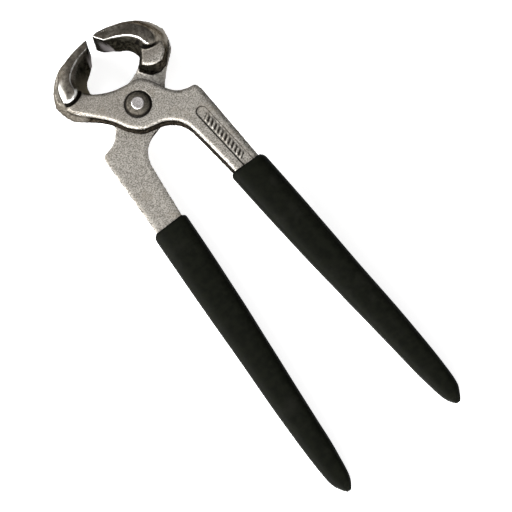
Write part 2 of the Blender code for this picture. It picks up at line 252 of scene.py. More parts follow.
def make_camera():
    right, up, back = camera_axes()
    data = bpy.data.cameras.new("camera")
    data.sensor_width = 36
    data.lens = data.sensor_width * CAMERA_DISTANCE / VIEW_WIDTH
    data.clip_start, data.clip_end = 0.1, 20
    camera = bpy.data.objects.new("camera", data)
    at = AIM + right * AIM_RIGHT + up * AIM_UP + back * CAMERA_DISTANCE
    camera.matrix_world = Matrix.Translation(at * MM) @ Matrix((right, up, back)).transposed().to_4x4()
    bpy.context.scene.collection.objects.link(camera)
    bpy.context.scene.camera = camera


def make_area(name, towards, size, power):
    """An area light lying in a direction from the middle of the tool, facing it."""
    data = bpy.data.lights.new(name, "AREA")
    data.shape = "RECTANGLE"
    data.size, data.size_y = size
    data.energy = power
    light = bpy.data.objects.new(name, data)
    direction = Vector(towards).normalized()
    light.location = LIGHTS_AIM + direction * LIGHT_DISTANCE
    light.rotation_mode = "QUATERNION"
    light.rotation_quaternion = (-direction).to_track_quat("-Z", "Y")
    bpy.context.scene.collection.objects.link(light)


def make_world():
    """A white tent: dim overhead, brighter low down on the key's side, dark low down on the other."""
    world = bpy.data.worlds.new("studio")
    bpy.context.scene.world = world
    world.use_nodes = True
    nodes, links = world.node_tree.nodes, world.node_tree.links

    def maths(operation, *values):
        node = nodes.new("ShaderNodeMath")
        node.operation = operation
        for value, socket in zip(values, node.inputs):
            if isinstance(value, bpy.types.NodeSocket):
                links.new(value, socket)
            else:
                socket.default_value = value
        return node.outputs[0]

    def step(value, start, end):
        node = nodes.new("ShaderNodeMapRange")
        node.interpolation_type = "SMOOTHSTEP"
        links.new(value, node.inputs["Value"])
        node.inputs["From Min"].default_value = start
        node.inputs["From Max"].default_value = end
        return node.outputs[0]

    where = nodes.new("ShaderNodeTexCoord")
    towards_key = nodes.new("ShaderNodeVectorMath")
    towards_key.operation = "DOT_PRODUCT"
    links.new(where.outputs["Generated"], towards_key.inputs[0])
    towards_key.inputs[1].default_value = (*KEY_TOWARDS[:2], 0)
    split = nodes.new("ShaderNodeSeparateXYZ")
    links.new(where.outputs["Generated"], split.inputs[0])
    overhead = step(split.outputs["Z"], *OVERHEAD_FADE)
    side = step(towards_key.outputs["Value"], *KEY_SIDE_FADE)
    horizon = maths("MULTIPLY_ADD", side, HORIZON_BRIGHT - HORIZON_DARK, HORIZON_DARK)
    strength = maths("MULTIPLY_ADD", overhead, maths("SUBTRACT", ZENITH, horizon), horizon)
    nodes["Background"].inputs["Color"].default_value = (1, 1, 1, 1)
    links.new(strength, nodes["Background"].inputs["Strength"])


# ---------------------------------------------------------------- mesh helpers

def smoothstep(start, end, value):
    share = np.clip((value - start) / (end - start), 0, 1)
    return share * share * (3 - 2 * share)


def read(mesh, what="vertices", name="co"):
    data = getattr(mesh, what)
    values = np.empty(len(data) * 3, np.float32)
    data.foreach_get(name, values)
    return values.reshape(-1, 3).astype(np.float64)


def read_normals(mesh):
    return read(mesh, "vertex_normals", "vector")


def write_points(mesh, points):
    mesh.vertices.foreach_set("co", points.astype(np.float32).ravel())
    mesh.update()


def edge_pairs(mesh):
    pairs = np.empty(len(mesh.edges) * 2, np.int32)
    mesh.edges.foreach_get("vertices", pairs)
    return pairs.reshape(-1, 2)


def store(mesh, name, values):
    mesh.attributes.new(name, "FLOAT", "POINT").data.foreach_set("value", values.astype(np.float32))


def smoothed(points, edges, weights, rounds):
    """Points drawn half way to the mean of their neighbours in each round, each by its own weight."""
    count = len(points)
    a, b = edges.T
    degree = np.maximum(np.bincount(a, minlength=count) + np.bincount(b, minlength=count), 1)
    for _ in range(rounds):
        mean = np.stack([
            np.bincount(a, points[b, i], count) + np.bincount(b, points[a, i], count) for i in range(3)
        ], 1) / degree[:, None]
        points = points + (mean - points) * (0.5 * weights)[:, None]
    return points


def bend_of(points, normals, edges, rounds):
    """Bend of the surface: above 0 on outer edges, below 0 in corners."""
    return ((points - smoothed(points, edges, np.ones(len(points)), rounds)) * normals).sum(1)


def noise_at(points, scale, seed):
    """Smooth noise from -1 to 1 at each point, with features of that many millimetres."""
    shift = Vector([seed * across for across in SHAPE_SHIFT])
    return np.array([noise.noise(Vector(p) / scale + shift) for p in points])


def distance_to(points, rims, vertices):
    """How far each of some vertices is from the nearest of the rims, seen from above."""
    tree = KDTree(len(rims))
    for index, vertex in enumerate(rims):
        tree.insert((*points[vertex, :2], 0), index)
    tree.balance()
    return np.array([tree.find((*points[vertex, :2], 0))[2] for vertex in vertices])


# ---------------------------------------------------------------- forging

def remeshed_forging():
    """The CAD forging as an even mesh, in millimetres about the pivot at the joint plane."""
    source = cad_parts["front_half"].data.copy()
    source.transform(Matrix.Scale(1 / MM, 4) @ AT_JOINT.inverted())
    geometry = bmesh.new()
    geometry.from_mesh(source)
    bmesh.ops.remove_doubles(geometry, verts=geometry.verts, dist=0.001)
    geometry.to_mesh(source)
    geometry.free()
    work = bpy.data.objects.new("work", source)
    bpy.context.scene.collection.objects.link(work)
    even = work.modifiers.new("even", "REMESH")
    even.mode = "VOXEL"
    even.voxel_size = VOXEL
    graph = bpy.context.evaluated_depsgraph_get()
    mesh = bpy.data.meshes.new_from_object(work.evaluated_get(graph))
    bpy.data.objects.remove(work)
    return mesh


def outwards(points, normals):
    """How far each normal points away from the middle of the jaws' mouth, from -1 to 1."""
    away = points[:, :2] - np.array(MOUTH_MIDDLE)
    away /= np.maximum(np.linalg.norm(away, axis=1), 0.1)[:, None]
    return (normals[:, :2] * away).sum(1)


def rounded_rims(points, edges, to_edge):
    """Round the edges of the forging, and those of its plate the most, but keep the cutting edge."""
    points = smoothed(points, edges, smoothstep(0.6, 3.0, to_edge), SMOOTHING)
    above_joint = smoothstep(4.2, 5.6, points[:, 2])
    in_jaw = smoothstep(11, 13.5, points[:, 1])
    return smoothed(points, edges, above_joint * (1 - in_jaw), RIM_SMOOTHING)


def crown_cheeks(points, normals):
    """Round the flat sides of the jaw off towards their outer edges, and bevel their inner edges."""
    out = outwards(points, normals)
    moved = points.copy()
    crown_left = np.clip((CROWN_START - points[:, 0]) / CROWN_LENGTH, 0, 1)
    bevel = [(INNER_BEVEL, INNER_BEVEL_DROP)]
    crown = [(OUTER_CROWN, OUTER_CROWN_DROP), (OUTER_EDGE, OUTER_EDGE_DROP)]
    foot = PLATE_FACE + 0.6
    for side in (1, -1):
        height = points[:, 2] * side
        on_cheek = (height > CHEEK_FACE - 0.35) & (normals[:, 2] * side > 0.7)
        cheek = np.flatnonzero(on_cheek)
        rim = np.flatnonzero((height > CHEEK_FACE - 1.6) & (height < CHEEK_FACE - 0.6))
        # The walls under the rims come down with them.
        walls = (height > foot) & ~on_cheek
        up_wall = np.clip((height - foot) / (CHEEK_FACE - foot), 0, 1)
        rim_drop = np.where(out > 0, (OUTER_CROWN_DROP + OUTER_EDGE_DROP) * crown_left, INNER_BEVEL_DROP)
        moved[:, 2] -= side * walls * up_wall * rim_drop
        for rims, profile, share in (
            (rim[out[rim] < -0.1], bevel, np.ones(len(points))),
            (rim[out[rim] > 0.05], crown, crown_left),
        ):
            distance = distance_to(points, rims, cheek)
            fall = sum(drop * np.maximum(0.0, 1 - distance / width) ** 2 for width, drop in profile)
            moved[cheek, 2] -= side * fall * share[cheek]
    return moved


def round_face(points, normals, face, side, drop):
    """Lower one flat face of the forging towards its rims, behind the jaw."""
    behind = (points[:, 1] < 12) & (np.hypot(points[:, 0], points[:, 1]) > 8)
    below = (face - points[:, 2]) * side
    rims = np.flatnonzero(behind & (below > 0.9) & (below < 1.6) & (np.abs(normals[:, 2]) < 0.5))
    flat = np.flatnonzero(behind & (below < 0.5) & (normals[:, 2] * side > 0.7))
    near_rim = np.maximum(0.0, 1 - distance_to(points, rims, flat) / RIM_WIDTH)
    moved = points.copy()
    moved[flat, 2] -= side * drop * near_rim ** 2
    return moved


def heel_of(points, out):
    """Where the near cheek stands on a narrow ledge round its heel, from 0 to 1."""
    x, y, _ = points.T
    return smoothstep(0.1, 0.5, out) * smoothstep(29.5, 25.0, y) * smoothstep(17.0, 19.6, y) * (x < -12)


def skin_swell(points, normals, out, heel):
    """How far the skin stands out: uneven forged skin, and the body of the jaw below its cheeks."""
    x, y, z = points.T
    swell = sum(noise_at(points, size, seed) * depth for size, depth, seed in SKIN_WAVES)
    # Rougher on the walls near the joint plane, where the flash was trimmed.
    trimmed = (1 - smoothstep(0.3, 0.7, np.abs(normals[:, 2]))) * (1 - smoothstep(1.0, 3.0, np.abs(z)))
    swell += noise_at(points, FLASH_SIZE, FLASH_SEED) * FLASH_DEPTH * trimmed
    faces_out = smoothstep(0.1, 0.5, out)
    cheek = smoothstep(7.0, 8.0, z)
    swell -= LEDGE_DEPTH * heel * cheek
    body = faces_out * smoothstep(-12, -15, x) * (1 - cheek) * smoothstep(-1.5, 0.8, z)
    swell += body * np.interp(y, BODY_ALONG, BODY_SWELL)
    swell += FAR_TIP_SWELL * faces_out * smoothstep(24, 27, y) * smoothstep(0.5, -1.5, z)
    # Nothing stands proud of the lap's face.
    lap = (z < 0.6) & (normals[:, 2] < -0.7) & (z > -1)
    return np.where(lap, np.minimum(swell, 0), swell) - SKIN_SUNK


def ribs(points):
    """Plain slanted ribs along the sunken panel, and the gaps between them, each from 0 to 1."""
    start, along = np.array(PANEL_TOP), np.array(PANEL_BOTTOM) - np.array(PANEL_TOP)
    along = along / np.linalg.norm(along)
    across = np.array([-along[1], along[0]])
    down_panel = (points[:, :2] - start) @ along
    off_middle = (points[:, :2] - start) @ across
    step = (down_panel - RIB_START + RIB_SLANT * off_middle) / RIB_PITCH
    inside = (step > -0.5) & (step < RIB_COUNT - 0.5)
    off_rib = np.abs(step - np.round(step)) * RIB_PITCH
    rib = 1 - smoothstep(RIB_THICKNESS / 2 - 0.3, RIB_THICKNESS / 2 + 0.3, off_rib)
    row = inside * (1 - smoothstep(RIB_LENGTH / 2 - 0.35, RIB_LENGTH / 2 + 0.4, np.abs(off_middle)))
    return row * rib, row * (1 - rib)


def panel_distance(points):
    """Distance outside the panel, a slot with round ends, negative within it."""
    flat = points[:, :2]
    start, along = np.array(PANEL_TOP), np.array(PANEL_BOTTOM) - np.array(PANEL_TOP)
    share = np.clip((flat - start) @ along / (along @ along), 0, 1)
    return np.linalg.norm(flat - start - share[:, None] * along, axis=1) - PANEL_HALF_WIDTH


def sink_details(points, normals):
    """Sink the panel with its ribs and the crevice round the rivet's head, and return their zones."""
    on_face = smoothstep(0.7, 0.95, normals[:, 2]) * (points[:, 2] > 5)
    sunk = 1 - smoothstep(-0.4, 0.12, panel_distance(points))
    raised, gaps = ribs(points)
    from_crevice = np.hypot(points[:, 0], points[:, 1]) - CREVICE_RADIUS
    points[:, 2] -= (PANEL_DEPTH * sunk - RIB_HEIGHT * raised) * on_face
    points[:, 2] -= CREVICE_DEPTH * np.exp(-(from_crevice / CREVICE_WIDTH) ** 2) * on_face
    groove_line = np.exp(-((panel_distance(points) + 0.15) / 0.32) ** 2)
    return {
        # Painted shade in the crevice round the rivet's head.
        "ring": np.exp(-(from_crevice / CREVICE_SHADE) ** 4) * on_face,
        # The panel's sunken edge and the gaps between its ribs, painted dark with dirt and shade.
        "outline": np.maximum(np.maximum(4 * sunk * (1 - sunk), gaps), groove_line) * on_face,
        "panel": on_face * (1 - smoothstep(0.2, 0.6, panel_distance(points))),
    }


def forging():
    mesh = remeshed_forging()
    edges = edge_pairs(mesh)
    points = read(mesh)
    # Fill the CAD's plain panel, so that smoothing doesn't blur it.
    points[(panel_distance(points) < 0.5) & (points[:, 2] > PLATE_FACE - 1.2), 2] = PLATE_FACE
    to_edge = np.hypot(points[:, 0] - CUTTING_EDGE[0], points[:, 1] - CUTTING_EDGE[1])
    points = rounded_rims(points, edges, to_edge)
    write_points(mesh, points)
    normals = read_normals(mesh)
    points = crown_cheeks(points, normals)
    points = round_face(points, normals, PLATE_FACE, 1, RIM_DROP)
    points = round_face(points, normals, 0.0, -1, LAP_RIM_DROP)
    on_cheeks = smoothstep(8.5, 10, np.abs(points[:, 2])) * smoothstep(1, 3, to_edge)
    points = smoothed(points, edges, on_cheeks, CHEEK_SMOOTHING)
    write_points(mesh, points)

    normals = read_normals(mesh)
    out = outwards(points, normals)
    heel = heel_of(points, out)
    # Where a painted shadow line runs at the foot of the ledge.
    groove = heel * np.exp(-((points[:, 2] - LEDGE_HEIGHT) / LEDGE_LINE) ** 2)
    swell = skin_swell(points, normals, out, heel) * smoothstep(0.5, 2.5, to_edge)
    points = points + normals * swell[:, None]
    details = sink_details(points, normals)
    points[:, 2] = np.clip(points[:, 2], -CHEEK_FACE, CHEEK_FACE)
    points[:, 1] = np.minimum(points[:, 1], cad_high[1] / MM - 0.01)
    write_points(mesh, points)
    mesh.shade_smooth()
    skin = Skin(mesh, points)
    zones = {**jaw_zones(skin), **plate_zones(skin), **details}
    zones.update(groove=groove, bend=bend_for_wear_highlights_and_shade(skin, edges))
    for name, values in zones.items():
        store(mesh, name, values)
    mesh.transform(Matrix.Scale(MM, 4))
    return mesh


# ---------------------------------------------------------------- finishes on the forging

class Skin:
    """Where each point of the finished forging lies, and which way it faces."""

    def __init__(self, mesh, points):
        self.points = points
        self.x, self.y, self.z = points.T
        self.normals = read_normals(mesh)
        self.level = np.abs(self.normals[:, 2])
        self.height = np.abs(self.z)
        self.out = outwards(points, self.normals)
        self.far = self.z < 0
        self.faces_out = smoothstep(-0.1, 0.2, self.out)
        self.steep = 1 - smoothstep(0.45, 0.72, self.level)


def mouth_of(skin):
    """The jaw's inner wall. Below the cheeks it takes in more of the rounding, most on the far half."""
    start, full = np.where(skin.far, 0.9, 0.78), np.where(skin.far, 0.98, 0.93)
    below_cheek = 1 - smoothstep(start, full, skin.level)
    steep = np.where(skin.height < 8, below_cheek, skin.steep)
    return smoothstep(0.1, -0.2, skin.out) * smoothstep(11.5, 13.5, skin.y) * steep


def outside_of(skin):
    """The outer side of the jaw, with the ledge under its near cheek."""
    x, y, z = skin.x, skin.y, skin.z
    start = np.where(skin.far, 11.0, 7.0)
    past_heel = smoothstep(-11.5, -13.5, x - 1.2 * (y - 12))
    upright = 1 - smoothstep(0.82, 0.95, skin.level)
    wall = skin.faces_out * smoothstep(start, start + 4, y) * upright * past_heel
    ledge = (z > 5) * (1 - smoothstep(8.4, 8.9, z)) * smoothstep(-13, -15, x) \
        * smoothstep(14.5, 16.5, y) * smoothstep(0.6, 0.8, skin.level)
    ledge_side = smoothstep(0.0, 1.5, -21.6 - x + 0.35 * np.maximum(y - 20, 0))
    return np.maximum(wall, ledge * ledge_side)


def root_of(skin):
    """The crevice under the end of each cheek, painted black as scale and painted shade."""
    in_height = smoothstep(6.6, 7.0, skin.height) * (1 - smoothstep(9.2, 9.8, skin.height))
    faces_back = smoothstep(-0.12, -0.4, skin.normals[:, 1]) * (1 - smoothstep(0.62, 0.85, skin.level))
    across = smoothstep(np.where(skin.far, -21.0, -23.6), np.where(skin.far, -19.0, -22.6), skin.x)
    return in_height * faces_back * (skin.y < 20) * across


def cheek_ground(skin):
    """The ground faces of the cheeks. On the far half the grinding runs on down the outer side."""
    start, full = np.where(skin.far, 5.5, 8.7), np.where(skin.far, 8.5, 9.1)
    on_side = np.maximum(smoothstep(0.35, 0.6, skin.level), skin.far * skin.faces_out)
    return smoothstep(start, full, skin.height) * smoothstep(12, 15, skin.y) * on_side


def heel_highlight_zone(skin):
    """The rounded outer end of the near cheek, where a highlight is painted."""
    rounding = 0.15 * smoothstep(0.995, 0.94, skin.level) + 0.85 * smoothstep(0.92, 0.84, skin.level)
    rounding *= smoothstep(0.25, 0.45, skin.level)
    at_end = np.maximum(skin.faces_out, smoothstep(19.5, 18.5, skin.y))
    return smoothstep(8.8, 9.4, skin.z) * rounding * at_end \
        * smoothstep(25.5, 22.5, skin.y) * smoothstep(-13, -16, skin.x)


def jaw_zones(skin):
    """Finishes of the jaw, each from 0 to 1."""
    x, y, z, height, level, out = skin.x, skin.y, skin.z, skin.height, skin.level, skin.out
    mouth = mouth_of(skin)
    outside = outside_of(skin)
    # The jaws are ground all over towards the cutting edge, and thinly on the far half's outer side.
    ground = smoothstep(-18, -13, x) * outside
    outside *= 1 - ground
    polish = np.maximum(cheek_ground(skin), ground)
    polish = np.maximum(polish, 0.35 * outside * (1 - smoothstep(-1.5, 1.5, z)))
    root = root_of(skin)
    # The walls under the far jaw, painted black as scale and shade.
    under = smoothstep(-0.3, -1.5, z) * smoothstep(5, 8, y) * skin.steep
    bevel_side = smoothstep(-6.4, -5.6, x - 0.13 * height) * smoothstep(-1.9, -3.3, x)
    sloping = smoothstep(0.4, 0.65, level) * (1 - smoothstep(0.86, 0.94, level))
    fringe_side = smoothstep(11, 14, y) * smoothstep(-12, -16, x)
    return {
        "polish": polish * (1 - root),
        "mouth": mouth,
        "outside": outside,
        "under": under * (1 - outside),
        "wall": skin.steep * (1 - mouth) * (1 - outside),
        # The ground facet beside the cutting edge, where a painted reflection lies.
        "bevel": mouth * bevel_side,
        "root": root,
        "lip": mouth * smoothstep(-6.3, -8.0, z) * smoothstep(21, 23, y),
        # Painted highlights: the cheeks' inner rims, then the near cheek's heel.
        "rim": smoothstep(10.2, 10.45, height) * smoothstep(0.0, -0.15, out) * sloping,
        "heel_highlight": heel_highlight_zone(skin),
        "fringe": outside * skin.far * smoothstep(-5.0, -2.0, z) * fringe_side,
        "boss": under * smoothstep(-12.0, -16.0, x) * smoothstep(-6.6, -5.4, z),
        "throat": smoothstep(25.0, 17.5, y) * (1 - under),
    }


def plate_zones(skin):
    """Finishes of the plate and of the walls, each from 0 to 1."""
    x, y, z, height = skin.x, skin.y, skin.z, skin.height
    # Darker towards the jaws, and on the jaws, most on the far half.
    darker_towards_jaws = smoothstep(8, 24, np.hypot(x - 12, y + 8)) * smoothstep(-12, 0, y) * smoothstep(1, 3, z)
    lap = smoothstep(-0.6, -0.85, skin.normals[:, 2]) * (height < 1.5)
    return {
        "darker_towards_jaws": np.maximum(darker_towards_jaws, smoothstep(10, 13, y) * np.where(skin.far, 1.6, 1.0)),
        # The lap face beside the far jaw, where painted light lifts it out of the front plate's shadow.
        "lap": lap * smoothstep(1.0, 3.0, y) * smoothstep(-6, -9, x),
        # Where a painted shadow line runs on the walls under the plate's rims.
        "high": np.exp(-((z - 4.9) / 0.7) ** 2) * (y < 15) * skin.steep,
        "low": 1 - smoothstep(0.4, 2.4, height),
        # How far the bevel's painted reflection reaches, fading out from the joint plane towards the cheeks.
        "reflection_fade": 1 - smoothstep(1.5, 9.0, height),
    }


def bend_for_wear_highlights_and_shade(skin, edges):
    """Bend of the surface, which gives outer edges wear and painted highlights and corners painted shade,
    less where the edges aren't bright or the corners aren't dark.
    """
    x, y, z = skin.x, skin.y, skin.z
    radius = np.hypot(x, y)
    bend = bend_of(skin.points, skin.normals, edges, 3)
    # In the mouth, but for the end of each cheek.
    cheek_end = (skin.height > 8.6) * smoothstep(21.5, 20.0, y) * (x < -15)
    bend *= 1 - smoothstep(10.5, 12, y) * smoothstep(-0.05, -0.3, skin.out) * (1 - cheek_end)
    # On the ledge under the near cheek.
    ledge = smoothstep(-12, -15, x) * smoothstep(15, 17, y) * (z > 5)
    bend = np.where((bend > 0) & (z < 9.0), bend * (1 - ledge), bend)
    # At the far cheek's root, round the rivet, and round the lap and the far side of the plate.
    bend *= 1 - skin.far * smoothstep(-15.2, -14.2, x) * smoothstep(8.5, 10, y)
    bend *= smoothstep(6.0, 7.0, radius)
    bend *= 1 - 0.9 * (z < 2) * (y < 11)
    # The boss's edge gets a painted shade line where it crosses the other plate.
    shaded_crossing = smoothstep(3.0, 4.5, x) * smoothstep(-4.0, -1.5, y) * (y < 9.5) \
        * (radius > 8) * (z > 4) * (z < 7)
    return np.where(bend > 0, bend * (1 - 4.0 * shaded_crossing), bend)


# ---------------------------------------------------------------- materials

class Nodes:
    """Short calls for building one material's node tree."""

    def __init__(self, name, seed=0):
        self.material = bpy.data.materials.new(name)
        self.material.use_nodes = True
        self.tree = self.material.node_tree
        self.shader = self.tree.nodes["Principled BSDF"]
        self.where = self.add("ShaderNodeTexCoord").outputs["Object"]
        self.where = self.moved(at=[seed * across for across in PATTERN_SHIFT])

    def add(self, kind, **values):
        node = self.tree.nodes.new(kind)
        for name, value in values.items():
            setattr(node, name, value)
        return node

    def link(self, value, socket):
        if isinstance(value, bpy.types.NodeSocket):
            self.tree.links.new(value, socket)
        else:
            socket.default_value = value

    def moved(self, scale=(1, 1, 1), turn=(0, 0, 0), at=(0, 0, 0)):
        node = self.add("ShaderNodeMapping")
        self.tree.links.new(self.where, node.inputs["Vector"])
        node.inputs["Scale"].default_value = scale
        node.inputs["Rotation"].default_value = turn
        node.inputs["Location"].default_value = at
        return node.outputs[0]

    def noise(self, size, detail, rough, vector=None):
        """Noise with features about this many millimetres across."""
        node = self.add("ShaderNodeTexNoise")
        self.tree.links.new(vector or self.where, node.inputs["Vector"])
        node.inputs["Scale"].default_value = 1 / (size * MM)
        node.inputs["Detail"].default_value = detail
        node.inputs["Roughness"].default_value = rough
        return node.outputs[0]

    def range(self, value, low, high, to_low=0.0, to_high=1.0):
        node = self.add("ShaderNodeMapRange", interpolation_type="SMOOTHSTEP")
        self.link(value, node.inputs["Value"])
        for name, number in zip(("From Min", "From Max", "To Min", "To Max"), (low, high, to_low, to_high)):
            node.inputs[name].default_value = number
        return node.outputs[0]

    def patches(self, size, detail, rough, low, high, least=0.0, most=1.0):
        """Noise cut between two of its levels, from least to most."""
        return self.range(self.noise(size, detail, rough), low, high, least, most)

    def maths(self, operation, a, b):
        node = self.add("ShaderNodeMath", operation=operation)
        self.link(a, node.inputs[0])
        self.link(b, node.inputs[1])
        return node.outputs[0]

    def times(self, a, b):
        return self.maths("MULTIPLY", a, b)

    def mix(self, share, a, b):
        node = self.add("ShaderNodeMix", data_type="RGBA")
        self.link(share, node.inputs["Factor"])
        for value, socket in ((a, node.inputs["A"]), (b, node.inputs["B"])):
            self.link((*value, 1) if isinstance(value, tuple) else value, socket)
        return node.outputs["Result"]

    def mottled(self, colours, size, detail, rough, low, high):
        """Two colours in patches."""
        return self.mix(self.patches(size, detail, rough, low, high), *colours)

    def blend(self, share, a, b):
        node = self.add("ShaderNodeMix", data_type="FLOAT")
        self.link(share, node.inputs["Factor"])
        self.link(a, node.inputs["A"])
        self.link(b, node.inputs["B"])
        return node.outputs["Result"]

    def zone(self, name):
        return self.add("ShaderNodeAttribute", attribute_name=name).outputs["Fac"]

    def bump(self, height, distance, strength, normal=None):
        node = self.add("ShaderNodeBump")
        self.link(height, node.inputs["Height"])
        node.inputs["Distance"].default_value = distance * MM
        self.link(strength, node.inputs["Strength"])
        if normal:
            self.tree.links.new(normal, node.inputs["Normal"])
        return node.outputs[0]

    def finish(self, **values):
        """Set the shader's inputs, and return the material."""
        names = {
            "colour": "Base Color", "rough": "Roughness", "metal": "Metallic", "normal": "Normal",
            "grazing": "Specular Tint", "specular": "Specular IOR Level",
            "glow_colour": "Emission Color", "glow": "Emission Strength",
        }
        for name, value in values.items():
            self.link(value, self.shader.inputs[names[name]])
        return self.material


def blasted(steel, grain, pits):
    """Blasted skin of the forging, with grey-brown stains, darker towards the jaws, and painted light on the
    lap face where the front plate shades it.
    """
    mottle = steel.patches(1.4, 4, 0.7, 0.42, 0.58)
    hollows, crests = steel.mix(mottle, *BLAST_HOLLOWS), steel.mix(mottle, *BLAST_CRESTS)
    blast = steel.mix(steel.range(grain, 0.39, 0.61), hollows, crests)
    blast = steel.mix(steel.range(pits, 0.60, 0.70, 0.0, 0.7), blast, BLAST_PITS)
    blast = steel.mix(steel.patches(8, 3, 0.6, 0.52, 0.72, 0.0, 0.4), blast, BLAST_STAINS)
    # Darker towards the jaws.
    blast = steel.mix(steel.times(steel.zone("darker_towards_jaws"), 0.33), blast, BLAST_TOWARDS_JAWS)
    # Painted light lifts the lap face out of the front plate's shadow.
    lap_painted_light = steel.mix(steel.range(pits, 0.4, 0.6), *LAP_PAINTED_LIGHT)
    return steel.mix(steel.times(steel.zone("lap"), 0.6), blast, lap_painted_light)


def scaled_and_shaded_walls(steel):
    """Scale on the walls, darkened further by painted shade, and the trimmed flash of the jaw's outer side,
    with a painted shadow line under the plate's rims and at the foot of the near cheek's ledge.
    """
    low, high = steel.zone("low"), steel.zone("high")
    scale = steel.mottled(WALL_SCALE_AND_SHADE, 1.3, 3, 0.6, 0.4, 0.62)
    scale = steel.mix(steel.times(low, 0.9), scale, SCALE_LOW)
    # The painted shadow line under the rims.
    scale = steel.mix(steel.times(high, 0.8), scale, UNDER_RIM_SHADOW)
    band = steel.mottled(BAND, 1.1, 3, 0.6, 0.38, 0.64)
    band = steel.mix(steel.times(low, steel.patches(2.2, 3, 0.7, 0.42, 0.58)), band, BAND_LOW)
    # The painted shadow line at the foot of the ledge.
    band = steel.mix(steel.times(steel.zone("groove"), 0.8), band, LEDGE_SHADOW_LINE)
    return scale, steel.mix(steel.times(high, 0.7), band, BAND_UNDER_RIM_SHADOW)


def scaled_and_shaded_mouth(steel, throat):
    """Black scale and painted shade in the mouth and under the jaw."""
    scale_and_shade = steel.mottled(MOUTH_SCALE_AND_SHADE, 1.5, 3, 0.6, 0.4, 0.65)
    scale_and_shade = steel.mix(steel.zone("throat"), scale_and_shade, throat)
    return steel.mix(steel.zone("boss"), scale_and_shade, steel.mottled(BOSS_SIDE, 1.6, 3, 0.7, 0.4, 0.62))


def ground_cheek(steel):
    """Dark ground steel, with rusty and darker patches."""
    cheek = steel.mottled(CHEEK, 4.5, 3, 0.6, 0.4, 0.62)
    cheek = steel.mix(steel.patches(3.0, 4, 0.7, 0.60, 0.70, 0.0, 0.4), cheek, CHEEK_RUST)
    return steel.mix(steel.patches(1.2, 4, 0.75, 0.46, 0.6, 0.0, 0.75), cheek, CHEEK_SHADE)


def forged_steel(name, seed, grain_size, throat, rims, lip_share):
    """Steel of one forging, each finish laid over the last."""
    steel = Nodes(name, seed)
    polish, outline, bend = (steel.zone(zone) for zone in ("polish", "outline", "bend"))
    grain = steel.noise(grain_size, 3.0, 0.65)
    pits = steel.noise(grain_size * 1.5, 2.0, 0.6)
    scale, band = scaled_and_shaded_walls(steel)
    # The walls carry scale, darkened further by painted shade.
    colour = steel.mix(steel.zone("wall"), blasted(steel, grain, pits), scale)
    colour = steel.mix(steel.zone("outside"), colour, band)
    # The mouth and the walls under the far jaw are painted black: scale and painted shade.
    in_mouth = steel.maths("MAXIMUM", steel.zone("mouth"), steel.zone("under"))
    colour = steel.mix(in_mouth, colour, scaled_and_shaded_mouth(steel, throat))
    # The ground bevel, with a painted reflection fading out towards the cheek.
    colour = steel.mix(steel.times(steel.zone("bevel"), steel.zone("reflection_fade")), colour, GROUND_BEVEL_REFLECTION)
    # Painted shade in the crevice round the rivet's head.
    colour = steel.mix(steel.zone("ring"), colour, CORNER_SHADE)
    # Dirt and painted shade along the panel's sunken edge and between its ribs.
    panel_dirt_and_shade = steel.times(outline, steel.patches(1.0, 2, 0.5, 0.3, 0.5, 0.75, 1.0))
    colour = steel.mix(panel_dirt_and_shade, colour, PANEL_DIRT_AND_SHADE)
    colour = steel.mix(polish, colour, ground_cheek(steel))
    lip = steel.times(steel.zone("lip"), steel.patches(2.5, 2, 0.5, 0.35, 0.52, 0.4 * lip_share, lip_share))
    colour = steel.mix(lip, colour, LIP_STEEL)
    colour = steel.mix(steel.times(steel.zone("fringe"), 0.7), colour, FRINGE_STEEL)
    # Outer edges are bright with wear and painted highlights, but less so round the panel, and corners get
    # painted shade.
    worn = steel.times(steel.range(bend, 0.03, 0.09), steel.patches(1.5, 3, 0.6, 0.3, 0.55, 0.6, 1.0))
    worn = steel.times(worn, steel.range(steel.zone("panel"), 0.0, 1.0, 1.0, 0.1))
    colour = steel.mix(steel.times(worn, 0.78), colour, WORN_AND_HIGHLIGHT_STEEL)
    # Painted shade in the corners.
    colour = steel.mix(steel.range(bend, -0.02, -0.09, 0.0, 0.85), colour, CORNER_SHADE)
    # The cheeks' inner rims and the near cheek's outer end get painted highlights.
    rim = steel.times(steel.zone("rim"), steel.patches(1.6, 3, 0.7, 0.42, 0.58, *rims))
    colour = steel.mix(rim, colour, RIM_HIGHLIGHT_STEEL)
    # A painted highlight on the near cheek's heel.
    colour = steel.mix(steel.times(steel.zone("heel_highlight"), 0.9), colour, WORN_AND_HIGHLIGHT_STEEL)
    # Scale and painted shade in the crevice under each cheek's end.
    colour = steel.mix(steel.zone("root"), colour, ROOT_SCALE_AND_SHADE)

    rough = steel.range(grain, 0.35, 0.65, 0.58, 0.46)
    rough = steel.blend(polish, rough, steel.patches(0.2, 2, 0.6, 0.3, 0.7, 0.34, 0.46))
    rough = steel.blend(worn, rough, 0.27)
    rough = steel.blend(outline, rough, 0.9)
    normal = steel.bump(grain, GRAIN_DEPTH, steel.blend(polish, 1.0, 0.1))
    grinding = steel.noise(0.9, 3, 0.6, steel.moved(scale=(1, 0.25, 1), turn=(0, 0, 0.6)))
    normal = steel.bump(grinding, 0.02, polish, normal)
    return steel.finish(colour=colour, rough=rough, metal=1.0, normal=normal, grazing=STEEL_GRAZING)


